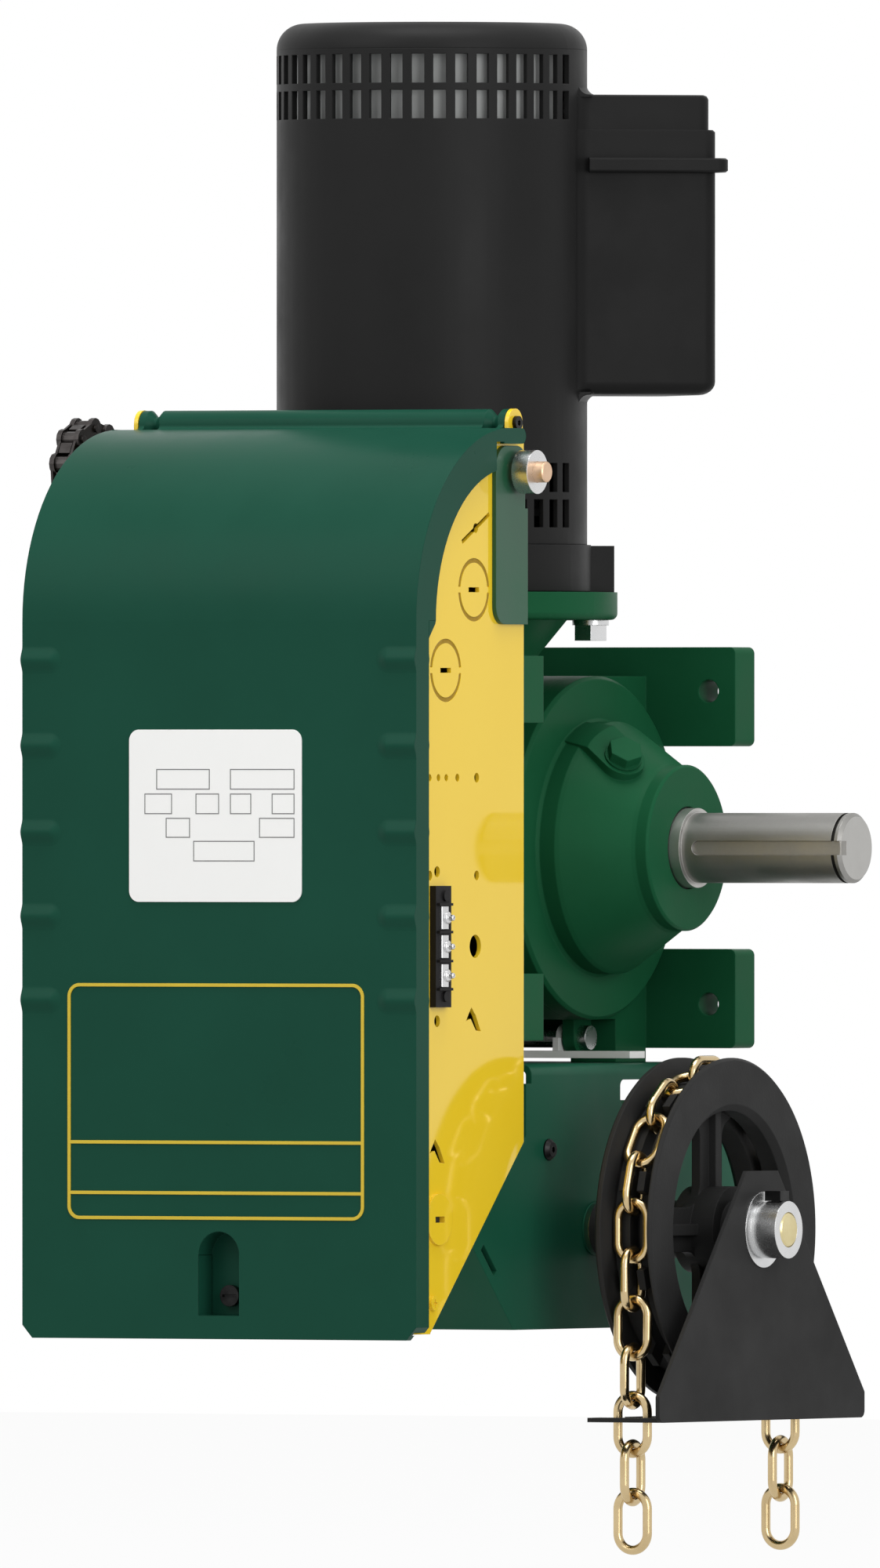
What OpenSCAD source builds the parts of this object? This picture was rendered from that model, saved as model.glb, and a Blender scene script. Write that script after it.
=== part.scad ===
// Gearhead door operator: motor, worm gearbox, control box and hand chain hoist

/* [Mounting] */
// Distance between the wall holes, side to side
hole_dx = 162.2; // [158:0.2:166]
// Distance between the wall holes, up and down
hole_dz = 142; // [139:1:144]
// Diameter of each wall hole
hole_d = 10.4; // [9:0.1:11.2]
// Thickness of the wall feet
foot_t = 18; // [15:1:20]

/* [Output shaft] */
// Diameter of the output shaft
out_d = 31.75; // [29:0.25:33]
// Right end of the output shaft from the middle of the machine
out_end = 191.9; // [184:0.1:200]
// Width and height of the square key
key_w = 6.35; // [6:0.05:8]
// Length of the key
key_l = 76.4; // [60:0.2:78]

/* [Motor] */
// Diameter of the motor shell
motor_d = 140.6; // [137:0.2:142]
// Height of the motor top above the output shaft
motor_top = 372.7; // [366:0.1:380]
// Number of air slots in each row
vent_n = 23; // [17:2:23]
// Width of one air slot
vent_w = 5.8; // [4.6:0.1:6.2]

/* [Control box] */
// Width over the side panels
box_w = 194; // [191:1:197]
// Thickness of the box sheet
sheet = 2; // [1.6:0.1:2.4]
// Wall thickness of the cover
cover_t = 2.2; // [1.8:0.1:2.6]

/* [Hand chain] */
// Wire diameter of a chain link
wire = 4.2; // [3.8:0.1:4.4]
// Inside length of a chain link
link_in = 21.75; // [21.4:0.05:22.1]
// Links that hang below the wheel on each side
fall_n = 6; // [4:1:8]

/* [Fits] */
// Gap between a turning shaft and its bearing, on the radius
run_c = 0.05; // [0.03:0.01:0.1]

/* [Hidden] */
$fn = 48;
wall_y = 130;
back_y = wall_y - foot_t;
out_y = 50;
ro = out_d / 2;
seat_r = 17.5;
side_x = 48.4;
face_x = 104.8;
lim_y = -98.1;
lim_z = 169;
lim_r = 4.75;
hoist_z = -171.8;
hoist_r = 7.9375;
hoist_end = 185;
wheel_x = 142.3;
mr = motor_d / 2;
shaft_r = 8.5;
mshaft_r = 7.9375;
bx = box_w / 2;
box_y = -88;
inner_y = box_y - sheet;
cov_in = bx + 2.5;
cov_x = cov_in + cover_t;
rib_r = 9;
rib_x = cov_x - 7.4;
cov_y = -194.7;
rib_y = cov_y + 7.2;
arc_y = -108;
arc_z = 102;
arc_r = arc_y - cov_y;
hinge_y = -95.5;
hinge_z = arc_z + arc_r + 2.4;
hinge_r = 2;
pitch = 12.7;
plane_x = -123.5;
big_n = 19;
small_n = 10;
big_r = pitch / 2 / sin(180 / big_n);
small_r = pitch / 2 / sin(180 / small_n);
mod_w = 1.9;
worm_pitch = PI * mod_w;
bev_r = 30;
bev_n = 20;
bev_h = 10;
lever_y = 70;
lever_z = -86;
pin_r = 3.2;
bolt_r = 4.75;
bolt_c = 74.6;
pilot_r = 57.15;
frame_x = 84.8;
frame_t = 3;
wr = link_in / 2 / sin(9);
wc = wr * cos(9);
link_half = 9.65;
bow = link_half - wire / 2;
bush_r = 12;
guide_x = 169;
rim_r = wc - link_half - 5.5;
flange_r = wc + 8.7;

// Shapes by their limits in the frame of the machine
module box(x0, x1, y0, y1, z0, z1) translate([x0, y0, z0]) cube([x1 - x0, y1 - y0, z1 - z0]);
module xc(r, x0, x1, y, z) translate([x0, y, z]) rotate([0, 90, 0]) cylinder(r = r, h = x1 - x0);
module yc(r, y0, y1, x, z) translate([x, y1, z]) rotate([90, 0, 0]) cylinder(r = r, h = y1 - y0);
module zc(r, z0, z1, x = 0, y = 0) translate([x, y, z0]) cylinder(r = r, h = z1 - z0);
module yz(x0, x1) translate([x0, 0, 0]) rotate([90, 0, 90]) linear_extrude(height = x1 - x0) children();
module xz(y0, y1) translate([0, y1, 0]) rotate([90, 0, 0]) linear_extrude(height = y1 - y0) children();
module xy(z0, z1) translate([0, 0, z0]) linear_extrude(height = z1 - z0) children();
module both_x() { children(); mirror([1, 0, 0]) children(); }
module both_z() { children(); mirror([0, 0, 1]) children(); }
module at_wall() translate([0, -wall_y, 0]) children();
module rr(x0, y0, x1, y1, r) {
  translate([x0 + r, y0]) square([x1 - x0 - 2 * r, y1 - y0]);
  translate([x0, y0 + r]) square([x1 - x0, y1 - y0 - 2 * r]);
  for (x = [x0 + r, x1 - r], y = [y0 + r, y1 - r]) translate([x, y]) circle(r);
}
// A body turned about the X axis, its profile given as radius and X
module xturn(y, z) translate([0, y, z]) rotate([0, 90, 0]) rotate_extrude() children();
// Gear outline with straight flanks, widths as shares of a tooth pitch
function teeth(n, r0, r1, w0, w1) = [for (i = [0:n - 1]) for (p = [[r0, -w0], [r1, -w1], [r1, w1], [r0, w0]])
  let (a = 360 / n * (i + p[1])) [p[0] * cos(a), p[0] * sin(a)]];

// Gearbox
module gearbox_housing() color([0.11, 0.31, 0.2]) at_wall() difference() {
  union() {
    xc(77.8, -side_x, side_x, out_y, 0);
    box(-side_x, side_x, out_y, back_y + 2, -77.8, 77.8);
    zc(38, -86.5, 95);
    rotate_extrude() union() {
      polygon([[0, 60], [side_x - 0.3, 60], [side_x - 0.3, 87], [62, 104], [0, 104]]);
      translate([0, 106.1]) square([84, 9.5]);
      translate([0, 103.1]) square([81, 4]);
      translate([81, 106.1]) circle(3);
    }
    both_z() {
      xz(back_y, wall_y) rr(-94.9, 46, 94.9, 91, 3);
      xy(56.4, 86.5) polygon([[-94.9, -66], [-94.9, box_y], [94.9, box_y], [94.9, -66], [42, -66],
        [30, -26], [-30, -26], [-42, -66]]);
    }
    both_x() {
      box(25, side_x, 84, back_y, -97.3, -70);
      box(33, 39, 62, 78, lever_z, -70);
      xc(8, 33, 39, lever_y, lever_z);
    }
  }
  zc(20, -66, 98);
  zc(40, 98, 111.6);
  zc(pilot_r, 111.6, 116);
  zc(10, -90, -66);
  xc(44, -side_x - 1, side_x + 1, out_y, 0);
  for (x = [-1, 1], z = [-1, 1]) yc(hole_d / 2, back_y - 1, wall_y + 1, x * hole_dx / 2, z * hole_dz / 2);
  for (x = [-1, 1], z = [-1, 1]) yc(3, box_y - 1, box_y + 14, x * 78, z * 71);
  for (a = [45:90:315]) rotate([0, 0, a]) zc(bolt_r + 0.4, 100, 117, bolt_c, 0);
  both_x() xc(pin_r, 32, 40, lever_y, lever_z);
}
// The plug's place on the cone, with its axis square to the slope
module plug_place() translate([0, out_y, 0]) rotate([34, 0, 0]) translate([84.5, 0, 46.3])
  rotate([0, 33.2, 0]) children();
module side_cover() difference() {
  union() {
    xturn(out_y, 0) polygon([[0, side_x], [77.8, side_x], [77.8, 56.9], [76.3, 58.4], [58.6, 58.4],
      [57.2, 59.8], [57.2, 67.5], [56.2, 69.4], [38.4, 96.6], [37.6, 98.4], [37.6, face_x - 1],
      [36.6, face_x], [0, face_x]]);
    intersection() {
      plug_place() translate([0, 0, -14]) linear_extrude(height = 17.5) {
        circle(10.4);
        rotate(-22.6) translate([-40, -10.4]) square([40, 20.8]);
      }
      xc(58.2, 58, face_x, out_y, 0);
    }
  }
  xc(36, side_x - 1, 67, out_y, 0);
  xc(26, 60, 102.4, out_y, 0);
  xc(18.7, 102, face_x + 1, out_y, 0);
}
module gearbox_cover_right() color([0.13, 0.34, 0.22]) at_wall() side_cover();
module gearbox_cover_left() color([0.13, 0.34, 0.22]) at_wall() mirror([1, 0, 0]) side_cover();
module oil_plugs() color([0.13, 0.34, 0.22]) at_wall() both_x() plug_place() translate([0, 0, 3.5]) {
  cylinder(r = 8.1, h = 6, $fn = 6);
  cylinder(r = 8.6, h = 1);
}
module shaft_seals() color([0.1, 0.1, 0.1]) at_wall() both_x() difference() {
  xc(26, 97, 102.4, out_y, 0);
  xc(18 + run_c, 96, 104, out_y, 0);
}
module bearings() color([0.66, 0.67, 0.68]) at_wall() {
  both_x() difference() {
    xc(36, 50, 67, out_y, 0);
    xc(seat_r + run_c, 49, 68, out_y, 0);
    difference() { xc(31, 49, 51.5, out_y, 0); xc(23, 48, 52, out_y, 0); }
  }
  for (z = [-62, 44]) difference() {
    zc(20, z, z + 12);
    zc(shaft_r + run_c, z - 1, z + 13);
    difference() { zc(17, z + 11, z + 13); zc(12, z + 10, z + 14); }
  }
}

// Output shaft and worm wheel
module shaft_outline() xturn(out_y, 0) polygon([[0, -130], [ro - 1.6, -130], [ro, -128.4], [ro, -110.1],
  [ro + 0.4, -110.1], [ro + 0.4, -67], [seat_r, -67], [seat_r, -49.7], [21, -49.7], [21, -24], [seat_r, -24],
  [seat_r, 67], [ro + 0.4, 67], [ro + 0.4, 110.1], [ro, 110.1], [ro, out_end - 4.7],
  [ro - 0.8, out_end - 4.7], [ro - 0.8, out_end - 3.3], [ro, out_end - 3.3],
  [ro, out_end - 1.6], [ro - 1.6, out_end], [0, out_end]]);
module key_block() {
  box(out_end - key_l + key_w / 2, out_end + 1, out_y - ro - 1, out_y - ro + key_w, -key_w / 2, key_w / 2);
  yc(key_w / 2, out_y - ro - 1, out_y - ro + key_w, out_end - key_l + key_w / 2, 0);
}
module output_shaft() color([0.67, 0.67, 0.66]) at_wall() difference() { shaft_outline(); key_block(); }
module output_key() color([0.6, 0.6, 0.59]) at_wall() difference() {
  intersection() { shaft_outline(); key_block(); }
  box(100, out_end + 2, out_y - ro - 2, out_y - ro + 1.2, -key_w, key_w);
}
module worm_wheel() color([0.72, 0.53, 0.28]) at_wall() difference() {
  union() {
    translate([-10, out_y, 0]) rotate([0, 90, 0])
      linear_extrude(height = 20, twist = -2.39, slices = 4) rotate(-90 - 1.195)
        polygon(teeth(40, 35.7, 39.9, 0.3, 0.12));
    xc(27, -24, 24, out_y, 0);
  }
  xc(seat_r, -25, 25, out_y, 0);
}
module shaft_rings() color([0.82, 0.82, 0.8]) at_wall() {
  both_x() difference() {
    xc(18, 96, 110.1, out_y, 0);
    xc(ro + 0.4, 95, 111, out_y, 0);
  }
  difference() {
    xc(21, 24, 49.7, out_y, 0);
    xc(seat_r, 23, 50, out_y, 0);
  }
}
// Sprocket outline with one roller seat at angle a
module sprocket_2d(n, pr, a) difference() {
  circle(pr + 2.6, $fn = 60);
  for (i = [0:n - 1]) rotate(a + 360 / n * i) {
    translate([pr, 0]) circle(4, $fn = 20);
    polygon([[pr, -4], [pr + 6, -5.6], [pr + 6, 5.6], [pr, 4]]);
  }
}
module drive_sprocket() color([0.24, 0.24, 0.24]) at_wall() difference() {
  union() {
    translate([0, out_y, 0]) yz(plane_x - 2.9, plane_x + 2.9) sprocket_2d(big_n, big_r, big_a0);
    xc(25, plane_x, -111.5, out_y, 0);
  }
  xc(ro, -131, -110, out_y, 0);
}

// Worm shaft and its thread
module worm_shaft() color([0.62, 0.62, 0.63]) at_wall() difference() {
  union() {
    zc(shaft_r, -100, 60);
    zc(14, 60, 97);
    zc(11, -49.7, -15);
    zc(11, 15, 43.7);
  }
  zc(mshaft_r, 62, 98);
}
function thread_r(u) = abs(u) < 0.11 ? 13.9 : abs(u) > 0.3 ? 9.7 : 13.9 - 4.2 * (abs(u) - 0.11) / 0.19;
module worm() color([0.56, 0.56, 0.57]) at_wall() difference() {
  translate([0, 0, -15]) linear_extrude(height = 30, twist = -360 * 30 / worm_pitch, slices = 90)
    rotate(270 - 360 * 15 / worm_pitch)
      polygon([for (u = [-0.5, -0.43, -0.36, -0.3, -0.236, -0.173, -0.11, -0.04, 0.04, 0.11, 0.173,
        0.236, 0.3, 0.36, 0.43]) [thread_r(u) * cos(360 * u), thread_r(u) * sin(360 * u)]]);
  zc(shaft_r, -16, 16);
}

// Motor
module motor_end_bell() color([0.13, 0.13, 0.13]) at_wall() difference() {
  union() {
    rotate_extrude() polygon([[0, 111.8], [pilot_r, 111.8], [pilot_r, 115.9], [72, 115.9], [72, 137],
      [mr - 2.6, 137], [mr - 2.6, 142], [0, 142]]);
    for (a = [45:90:315]) rotate([0, 0, a]) box(60, 82.7, -11, 11, 115.6, 136.7);
  }
  rotate_extrude() polygon([[0, 124], [60, 124], [mr - 6, 143], [0, 143]]);
  zc(mshaft_r + run_c, 110, 130);
  for (a = [45:90:315]) rotate([0, 0, a]) zc(bolt_r, 115, 131, bolt_c, 0);
}
module vents(z0, z1) for (i = [0:vent_n - 1])
  rotate([0, 0, -90 + (i - (vent_n - 1) / 2) * 8.08]) box(mr - 6, mr + 3, -vent_w / 2, vent_w / 2, z0, z1);
module motor_shell() color([0.15, 0.15, 0.15]) at_wall() difference() {
  zc(mr, 137, motor_top - 12);
  zc(mr - 2.6, 136, motor_top - 11);
  vents(motor_top - 27.6, motor_top - 14.6);
  vents(motor_top - 43.7, motor_top - 30.9);
  vents(160.7, 173.8);
  vents(144.7, 157.3);
}
module motor_cap() color([0.15, 0.15, 0.15]) at_wall() difference() {
  rotate_extrude() difference() {
    union() {
      translate([0, motor_top - 12]) square([mr - 12, 12]);
      intersection() {
        translate([mr - 12, motor_top - 12]) circle(12);
        translate([mr - 12.5, motor_top - 12]) square([13, 12]);
      }
    }
    translate([0, motor_top - 13]) square([mr - 12, 10]);
  }
  zc(mshaft_r + run_c, motor_top - 20, motor_top - 1.5);
}
module motor_stator() color([0.42, 0.42, 0.43]) at_wall() difference() {
  zc(mr - 2.6, 186, 318);
  zc(44, 185, 319);
}
module air_baffle() color([0.41, 0.41, 0.42]) at_wall() difference() {
  zc(mr - 2.6, motor_top - 50, motor_top - 12);
  zc(mr - 9, motor_top - 45, motor_top - 11);
  zc(20, motor_top - 51, motor_top - 40);
  difference() { zc(mr, motor_top - 46, motor_top - 11); zc(mr - 6, motor_top - 47, motor_top - 10); }
}
module motor_rotor() color([0.5, 0.5, 0.52]) at_wall() {
  zc(mshaft_r, 63, motor_top - 16);
  zc(43.4, 188, 316);
  zc(12, 150, 188);
  zc(12, 316, 320);
}
module motor_fan() color([0.2, 0.2, 0.2]) at_wall() difference() {
  union() {
    zc(52, 150, 153);
    zc(18, 147, 162);
    for (a = [0:45:315]) rotate([0, 0, a]) box(16, 52, -1.2, 1.2, 152, 164);
  }
  zc(12, 146, 165);
}
// Outline of the capacitor box, reaching out from the motor on its diagonal
module cap_2d(reach, half, r) difference() {
  union() {
    translate([40, -half]) square([reach - r - 40, 2 * half]);
    translate([40, -half + r]) square([reach - 40, 2 * half - 2 * r]);
    for (s = [-1, 1]) translate([reach - r, s * (half - r)]) circle(r);
  }
  circle(mr);
}
module cap_flare() for (s = [-1, 1]) difference() {
  translate([50, s > 0 ? 39 : -46]) square([14, 7]);
  translate([64, s * 46]) circle(6);
  circle(mr);
}
module capacitor_box() color([0.15, 0.15, 0.15]) at_wall() rotate([0, 0, 45]) difference() {
  xy(204.8, 305.5) { cap_2d(123.5, 40, 5); cap_flare(); }
  box(mr + 3, 121, -37.5, 37.5, 207.3, 306);
  zc(4, 200, 208, 100, 0);
}
module capacitor_lid() color([0.15, 0.15, 0.15]) at_wall() rotate([0, 0, 45]) difference() {
  union() {
    xy(305.5, 311.9) { cap_2d(128.1, 44.6, 6); cap_flare(); }
    xy(311.8, 324.7) { cap_2d(123.5, 40, 5); cap_flare(); }
    xy(324.6, 340.5) cap_2d(120.5, 39, 5);
  }
  box(mr + 3, 118, -36.5, 36.5, 304, 338);
}
module flange_bolts() color([0.78, 0.78, 0.78]) at_wall() for (a = [45:90:315]) rotate([0, 0, a]) {
  zc(bolt_r, 100, 130, bolt_c, 0);
  zc(8.35, 100.8, 103.1, bolt_c, 0);
  translate([bolt_c, 0, 93.8]) rotate(15) cylinder(r = 8.25, h = 7.1, $fn = 6);
}

// Control box
module panel_2d() {
  polygon([[box_y, -132], [-174, -217.4], [-190, -217.4], [-190, arc_z], [arc_y, arc_z], [arc_y, 184],
    [box_y, 184]]);
  intersection() {
    translate([arc_y, arc_z]) circle(arc_r - 4.7);
    translate([arc_y - arc_r + 4.7, arc_z]) square(arc_r - 4.7);
  }
  translate([-102, 180]) square([13, 11.1]);
  translate([hinge_y, hinge_z]) circle(6.5);
}
module panel_holes() {
  for (h = [[-132, 143.7, 2.2], [-174, 31.7, 1.6], [-166, 31.7, 1.6], [-158.9, 31.7, 1.6],
    [-148.8, 31.7, 1.8], [-131.1, 31.7, 2.2], [-167.3, -10.4, 2.5], [-174, -12.1, 2.2],
    [-131.1, -12.1, 2.2], [-132.4, -43.9, 5.2], [-167.3, -77.3, 2.6], [-167, -166.1, 8]])
    xc(h[2], bx - sheet - 1, bx + 1, h[0], h[1]);
  translate([bx - sheet - 1, -132, 143.7]) rotate([27, 0, 0]) box(0, sheet + 2, -14, 14, -1, 1);
  for (p = [[-133.7, 116], [-159.5, 79.8]]) translate([0, p[0], p[1]]) {
    difference() {
      xc(14.2, bx - 0.9, bx + 1, 0, 0);
      xc(12.2, bx - 1, bx + 2, 0, 0);
      box(bx - 1, bx + 2, -15, 15, -1.3, 1.3);
    }
    box(bx - sheet - 1, bx + 1, -4.8, 4.8, -1.1, 1.1);
  }
  for (p = [[-133, -76.4], [-166.1, -135.4]]) yz(bx - sheet - 1, bx + 1) translate(p)
    polygon([[-8, -1], [-3, 5.2], [1, 1.5], [5.6, -5.6], [1, -5.2], [-3.6, 0]]);
}
module chassis() color([0.93, 0.8, 0.3]) at_wall() difference() {
  union() {
    both_x() yz(bx - sheet, bx) panel_2d();
    box(-bx, bx, inner_y, box_y, -132, 150);
    yz(-bx, bx) polygon([[box_y, -132], [-174, -217.4], [-174.8, -217.4 + sheet],
      [inner_y, -132 + 0.41 * sheet]]);
    box(-bx, bx, -190, -173.5, -217.4, -217.4 + sheet);
    box(-14, 14, -178, -178 + sheet, -216, -190);
  }
  panel_holes();
  both_x() {
    xc(lim_r + 2.5, bx - sheet - 1, bx + 1, lim_y, lim_z);
    xc(hinge_r + 0.1, bx - sheet - 1, bx + 1, hinge_y, hinge_z);
  }
  for (x = [-78, 78], z = [-71, 71]) yc(3.3, inner_y - 1, box_y + 1, x, z);
  yc(2.7, -180, -174, 0, -200.6);
}
module box_screws() color([0.72, 0.73, 0.74]) at_wall() for (x = [-78, 78], z = [-71, 71]) difference() {
  union() {
    yc(5, inner_y - 4, inner_y, x, z);
    yc(3, inner_y - 1, box_y + 13, x, z);
  }
  yc(2.5, inner_y - 5, inner_y - 2, x, z, $fn = 6);
}
module panel_fittings() color([0.9, 0.78, 0.32]) at_wall() {
  difference() {
    union() {
      xc(11.5, bx, bx + 1.4, -167, -166.1);
      xc(8, bx - sheet - 1.5, bx + 1, -167, -166.1);
    }
    box(bx - sheet - 0.5, bx + 2, -171.2, -162.8, -167.5, -164.8);
  }
  difference() {
    xc(3.2, bx, bx + 1.8, -172.2, -203.6);
    box(bx + 1, bx + 2, -174.2, -170.2, -204, -203.2);
    box(bx + 1, bx + 2, -172.6, -171.8, -205.6, -201.6);
  }
}
module terminal_block() color([0.1, 0.1, 0.1]) at_wall() difference() {
  union() {
    box(bx, bx + 3.2, -174, -160, -71.1, -16.7);
    for (z = [-66.3, -21.2]) xc(2.4, bx + 3, bx + 4.2, -165.7, z);
    for (z = [-37.4, -50.4, -63, -25]) box(bx + 3, bx + 4.8, -173, -161, z - 0.6, z + 0.6);
  }
  for (z = [-31, -43.9, -56.9]) xc(3.4, bx + 2.4, bx + 5, -165.7, z);
}
module terminal_screws() color([0.8, 0.8, 0.8]) at_wall() for (z = [-31, -43.9, -56.9]) difference() {
  xc(3.2, bx + 2.4, bx + 4.6, -165.7, z);
  box(bx + 3.8, bx + 5, -168, -163.4, z - 0.4, z + 0.4);
}
module circuit_board() color([0.1, 0.36, 0.2]) at_wall() {
  box(-64, 20, inner_y - 9.6, inner_y - 8, -72, 72);
  for (x = [-58, 14], z = [-66, 66]) yc(3, inner_y - 8.2, inner_y, x, z);
  for (z = [-60, -38, -16]) box(-54, -34, inner_y - 25, inner_y - 9.5, z, z + 16);
  box(-62, 18, inner_y - 22, inner_y - 9.5, 56, 64);
  box(-28, -4, inner_y - 13, inner_y - 9.5, -30, -6);
  for (x = [-20, -6, 8]) yc(5, inner_y - 26, inner_y - 9.5, x, 30);
  box(-30, 16, inner_y - 20, inner_y - 9.5, -68, -58);
}
module transformer() color([0.5, 0.34, 0.22]) at_wall() {
  box(bx - 61, bx - 13, inner_y - 40, inner_y, -52, -12);
  box(bx - 53, bx - 21, inner_y - 52, inner_y - 38, -46, -18);
  box(bx - 69, bx - 5, inner_y - 2, inner_y, -40, -24);
}
module contactors() color([0.17, 0.17, 0.18]) at_wall() for (x = [bx - 69, bx - 37]) {
  box(x, x + 29, inner_y - 46, inner_y, 2, 58);
  box(x + 3, x + 26, inner_y - 62, inner_y - 45, 10, 50);
  box(x + 9, x + 20, inner_y - 66, inner_y - 61, 22, 38);
}

// Limit switch drive
lim_d = sqrt(pow(out_y - lim_y, 2) + pow(lim_z, 2));
dir_a = atan2(lim_z, lim_y - out_y);
tan_a = acos((big_r - small_r) / lim_d);
arc_b = (360 - 2 * tan_a) / 360 * big_n;
arc_s = 2 * tan_a / 360 * small_n;
links = round((2 * lim_d * sin(tan_a)) / pitch + arc_b + arc_s);
run_n = (links - arc_b - arc_s) / 2;
big_a0 = dir_a + tan_a;
small_a0 = dir_a - tan_a + (ceil(arc_b + run_n) - arc_b - run_n) * 360 / small_n;
function on_big(a) = [out_y + big_r * cos(a), big_r * sin(a)];
function on_small(a) = [lim_y + small_r * cos(a), lim_z + small_r * sin(a)];
function on_path(s) = s < arc_b ? on_big(big_a0 + s * 360 / big_n)
  : s < arc_b + run_n ? let (t = (s - arc_b) / run_n) on_big(dir_a - tan_a) * (1 - t) + on_small(dir_a - tan_a) * t
  : s < arc_b + run_n + arc_s ? on_small(dir_a - tan_a + (s - arc_b - run_n) * 360 / small_n)
  : let (t = (s - arc_b - run_n - arc_s) / run_n) on_small(dir_a + tan_a) * (1 - t) + on_big(big_a0) * t;
module chain_plate(p, q) {
  d = q - p;
  for (e = [p, q]) translate(e) circle(4.8, $fn = 12);
  translate(p) rotate(atan2(d[1], d[0])) translate([0, -3.6]) square([norm(d), 7.2]);
}
module limit_chain() color([0.27, 0.26, 0.24]) at_wall() for (i = [0:links - 1]) {
  p = on_path(i);
  q = on_path((i + 1) % links);
  for (s = [-1, 1]) let (x = plane_x + s * (i % 2 == 0 ? 3.9 : 5.1)) yz(x - 0.6, x + 0.6) chain_plate(p, q);
  xc(3.6, plane_x - 3.4, plane_x + 3.4, p[0], p[1], $fn = 12);
  xc(1.8, plane_x - 6.4, plane_x + 6.4, p[0], p[1], $fn = 8);
}
module limit_shaft() color([0.66, 0.46, 0.3]) at_wall() xturn(lim_y, lim_z)
  polygon([[0, -130], [lim_r - 0.6, -130], [lim_r, -129.4], [lim_r, 114.4], [lim_r - 0.6, 115], [0, 115]]);
module limit_sprocket() color([0.24, 0.24, 0.24]) at_wall() difference() {
  union() {
    translate([0, lim_y, lim_z]) yz(plane_x - 2.9, plane_x + 2.9) sprocket_2d(small_n, small_r, small_a0);
    xc(11, plane_x, -bx - 5, lim_y, lim_z);
  }
  xc(lim_r, -131, -90, lim_y, lim_z);
}
module limit_collar() color([0.74, 0.75, 0.76]) at_wall() difference() {
  xc(9.85, bx + 4.8, bx + 12.8, lim_y, lim_z);
  xc(lim_r, bx, bx + 20, lim_y, lim_z);
}
module limit_brackets() color([0.2, 0.38, 0.28]) at_wall() both_x() difference() {
  yz(bx, bx + 2.1) difference() {
    union() {
      hull() for (y = [-107, box_y - 10]) translate([y, 170.8]) circle(10);
      hull() { translate([-109, 108.6]) circle(8); translate([-110, 166]) square([box_y + 110, 4]);
        translate([-108, 100.6]) square([box_y + 108, 4]); translate([-117, 166]) square(4); }
    }
    translate([box_y - 2.4, 152.7]) square([3, 40]);
  }
  xc(lim_r + run_c, bx - 1, bx + 4, lim_y, lim_z);
}
module limit_guide() color([0.7, 0.7, 0.71]) at_wall() {
  box(-bx + sheet, bx - sheet, -128, lim_y - 11, lim_z - 0.7, lim_z + 0.7);
  box(-72, 72, -132, inner_y, 138, 140);
}
module limit_nuts() color([0.85, 0.85, 0.82]) at_wall() for (x = [-38, 30]) difference() {
  xc(13, x - 6, x + 6, lim_y, lim_z);
  xc(lim_r + run_c, x - 7, x + 7, lim_y, lim_z);
  box(x - 7, x + 7, lim_y - 14, lim_y - 10.4, lim_z - 1.2, lim_z + 1.2);
}
module limit_switches() color([0.12, 0.12, 0.13]) at_wall() for (x = [-62, -14, 42]) {
  box(x, x + 20, -128, -100, 140, 150);
  box(x + 8, x + 12, -122, -104, 149.9, 153);
}

// Cover and what is on it
module cover_band(front, curve) {
  translate([cov_y, -220]) square([front, 220 + arc_z]);
  intersection() {
    translate([arc_y, arc_z]) difference() { circle(arc_r); circle(arc_r - curve); }
    translate([cov_y - 1, arc_z]) square([arc_y - cov_y + 1, 90]);
  }
}
module cover() color([0.13, 0.29, 0.23]) at_wall() difference() {
  union() {
    difference() {
      yz(-cov_x, cov_x) difference() {
        cover_band(11.7, 18);
        translate([-121, 100]) square([40, 82.5]);
      }
      yz(-cov_in, cov_in) difference() { cover_band(11.8, 19); cover_band(cover_t, cover_t); }
    }
    box(-cov_x, cov_x, arc_y - 0.1, arc_y + 3.5, arc_z + arc_r - cover_t, arc_z + arc_r);
    box(-92, 92, arc_y, hinge_y, arc_z + arc_r - cover_t, arc_z + arc_r);
    xturn(hinge_y, hinge_z) polygon([[0, -(bx - sheet - 0.4)], [6.3, -(bx - sheet - 0.4)], [6.3, -91.4],
      [3.4, -88.3], [3.4, -87.1], [6.3, -84], [6.3, 84], [3.4, 87.1], [3.4, 88.3], [6.3, 91.4],
      [6.3, bx - sheet - 0.4], [0, bx - sheet - 0.4]]);
    both_x() yz(cov_in, cov_x) hull() {
      translate([arc_y - 6, arc_z + arc_r - 7]) square([6, 7]);
      translate([hinge_y - 2.2, arc_z + arc_r - 3.5]) circle(3.5);
    }
    box(-cov_x, cov_x, cov_y, -190.6, -220, -217.8);
    both_x() for (z = [84.7, 46.2, 7.3, -30.5, -68]) difference() {
      xturn(rib_y, z) intersection() {
        union() {
          translate([0, 87.4]) circle(rib_r);
          translate([0, 87.4]) square([rib_r, rib_x - 87.4]);
          translate([0, rib_x]) circle(rib_r);
        }
        translate([0, 60]) square([rib_r, 60]);
      }
      box(0, cov_in, cov_y + cover_t, -160, z - 12, z + 12);
    }
    box(-12.7, 12.7, cov_y, -180, -211.6, -169.6);
  }
  xz(cov_y - 2, -182.2) union() {
    translate([-10.5, -209.4]) square([21, 27.1]);
    translate([0, -182.3]) circle(10.5);
  }
  yc(2.5, -184, -179, 0, -200.6);
  both_x() xc(hinge_r + run_c, bx - sheet - 12, bx, hinge_y, hinge_z);
  both_x() yz(cov_in - 1, cov_x + 1) intersection() {
    rr(-118.4, 90, -60, arc_z + arc_r - 7, 11.4);
    translate([-120, arc_z]) square([60, arc_r]);
  }
  both_x() xz(cov_y - 2, -180) polygon([[cov_x + 1, -213], [cov_x - 6, -221], [cov_x + 1, -221]]);
}
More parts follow.
